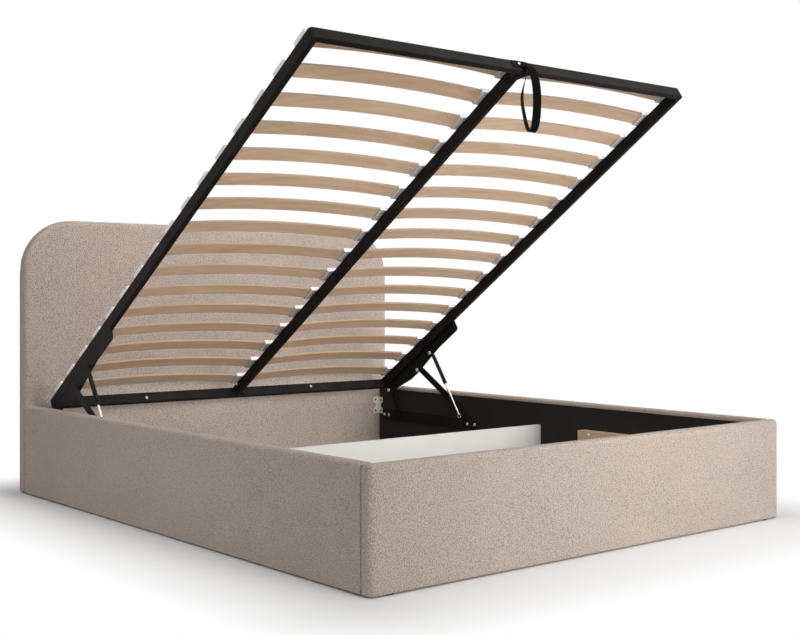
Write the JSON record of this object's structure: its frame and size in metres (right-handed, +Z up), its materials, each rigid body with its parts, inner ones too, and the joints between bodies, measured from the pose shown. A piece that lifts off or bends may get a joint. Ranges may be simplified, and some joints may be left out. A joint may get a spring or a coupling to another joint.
{
  "type": "upholstered storage bed",
  "caption": "Upholstered storage bed with a rounded headboard, its slatted steel frame lifted on links and gas struts over a lined storage box with a cross divider.",
  "frame": {"origin": "on the floor, at the middle of the bed's footprint", "axes": "+X to the right seen from the foot, +Y from the foot to the headboard, +Z up"},
  "size_m": [1.74, 2.14, 1.4852],
  "materials": {
    "upholstery": "woven boucle, padded",
    "lining": "thin black nonwoven",
    "board": "bare particle board",
    "lining_board": "thin board faced in black",
    "batten": "planed softwood",
    "white_board": "white faced board",
    "black_steel": "satin black powder coat",
    "zinc": "bright zinc",
    "strut_rod": "polished rod",
    "slat": "birch plywood",
    "slat_cap": "light grey moulding",
    "webbing": "black woven webbing",
    "glide": "black glide"
  },
  "bodies": {
    "bed_base": {"headboard_core": "board", "headboard_cover": "upholstery", "headboard_backing": "lining", "footboard_core": "board", "footboard_cover": "upholstery", "footboard_lining": "lining", "rail_left_core": "board", "rail_left_cover": "upholstery", "rail_right_core": "board", "rail_right_cover": "upholstery", "rail_linings": "lining", "corner_brackets": "zinc", "lift_base_left": "black_steel", "lift_base_right": "black_steel", "cross_divider": "white_board", "divider_brackets": "zinc", "support_battens": "batten", "storage_floor": "lining_board", "floor_cleats": "batten", "floor_glides": "glide"},
    "lift_frame": {"frame_side_left": "black_steel", "frame_side_right": "black_steel", "frame_head_tube": "black_steel", "frame_foot_tube": "black_steel", "frame_centre_tube": "black_steel", "lift_bracket_left": "black_steel", "lift_bracket_right": "black_steel", "side_slat_caps": "slat_cap", "centre_slat_caps": "slat_cap", "strap_anchor": "webbing", "slat_row_01": "slat", "slat_row_02": "slat", "slat_row_03": "slat", "slat_row_04": "slat", "slat_row_05": "slat", "slat_row_06": "slat", "slat_row_07": "slat", "slat_row_08": "slat", "slat_row_09": "slat", "slat_row_10": "slat", "slat_row_11": "slat", "slat_row_12": "slat", "slat_row_13": "slat", "slat_row_14": "slat", "slat_row_15": "slat", "slat_row_16": "slat"},
    "rear_link_left": {"rear_link_left": "black_steel"},
    "front_arm_left": {"front_arm_left": "black_steel"},
    "strut_rod_left": {"strut_rod_left": "strut_rod"},
    "strut_cylinder_left": {"strut_cylinder_left": "black_steel"},
    "rear_link_right": {"rear_link_right": "black_steel"},
    "front_arm_right": {"front_arm_right": "black_steel"},
    "strut_rod_right": {"strut_rod_right": "strut_rod"},
    "strut_cylinder_right": {"strut_cylinder_right": "black_steel"},
    "pull_strap": {"pull_strap": "webbing"}
  },
  "joints": [
    {"name": "lift", "type": "hinge", "parent": "rear_link_left", "child": "lift_frame", "pos_m": [-0.818, 0.90258, 0.31372], "axis": [1, 0, 0], "range_deg": [0, 101.57], "stiffness_Nm_per_rad": 27, "springref_deg": -171.89},
    {"name": "rear_link_left_pivot", "type": "hinge", "parent": "bed_base", "child": "rear_link_left", "pos_m": [-0.818, 0.86377, 0.204], "axis": [1, 0, 0], "range_deg": [-67.62, 0]},
    {"name": "front_arm_left_pivot", "type": "hinge", "parent": "bed_base", "child": "front_arm_left", "pos_m": [-0.818, 0.37427, 0.212], "axis": [1, 0, 0], "range_deg": [-35.89, 0]},
    {"name": "strut_left_pivot", "type": "hinge", "parent": "bed_base", "child": "strut_rod_left", "pos_m": [-0.8077, 0.44227, 0.23], "axis": [1, 0, 0], "range_deg": [-64.06, 0]},
    {"name": "strut_left_stroke", "type": "slide", "parent": "strut_rod_left", "child": "strut_cylinder_left", "axis": [0, 0.5639, 0.8259], "range_m": [-0.1104, 0]},
    {"name": "rear_link_right_pivot", "type": "hinge", "parent": "bed_base", "child": "rear_link_right", "pos_m": [0.818, 0.86377, 0.204], "axis": [1, 0, 0], "range_deg": [-67.62, 0]},
    {"name": "front_arm_right_pivot", "type": "hinge", "parent": "bed_base", "child": "front_arm_right", "pos_m": [0.818, 0.37427, 0.212], "axis": [1, 0, 0], "range_deg": [-35.89, 0]},
    {"name": "strut_right_pivot", "type": "hinge", "parent": "bed_base", "child": "strut_rod_right", "pos_m": [0.8077, 0.44227, 0.23], "axis": [1, 0, 0], "range_deg": [-64.06, 0]},
    {"name": "strut_right_stroke", "type": "slide", "parent": "strut_rod_right", "child": "strut_cylinder_right", "axis": [0, 0.5639, 0.8259], "range_m": [-0.1104, 0]},
    {"name": "strap_swing", "type": "hinge", "parent": "lift_frame", "child": "pull_strap", "pos_m": [0, -0.73759, 1.44077], "axis": [1, 0, 0], "range_deg": [-27, 30]}
  ],
  "couplings": [
    {"joint": "rear_link_left_pivot", "follows": "lift", "ratio": -0.66525},
    {"joint": "front_arm_left_pivot", "follows": "lift", "ratio": -0.35286},
    {"joint": "strut_left_pivot", "follows": "lift", "ratio": -0.63024},
    {"joint": "strut_left_stroke", "follows": "lift", "m_per_rad": -0.061995},
    {"joint": "rear_link_right_pivot", "follows": "lift", "ratio": -0.66525},
    {"joint": "front_arm_right_pivot", "follows": "lift", "ratio": -0.35286},
    {"joint": "strut_right_pivot", "follows": "lift", "ratio": -0.63024},
    {"joint": "strut_right_stroke", "follows": "lift", "m_per_rad": -0.061995}
  ]
}
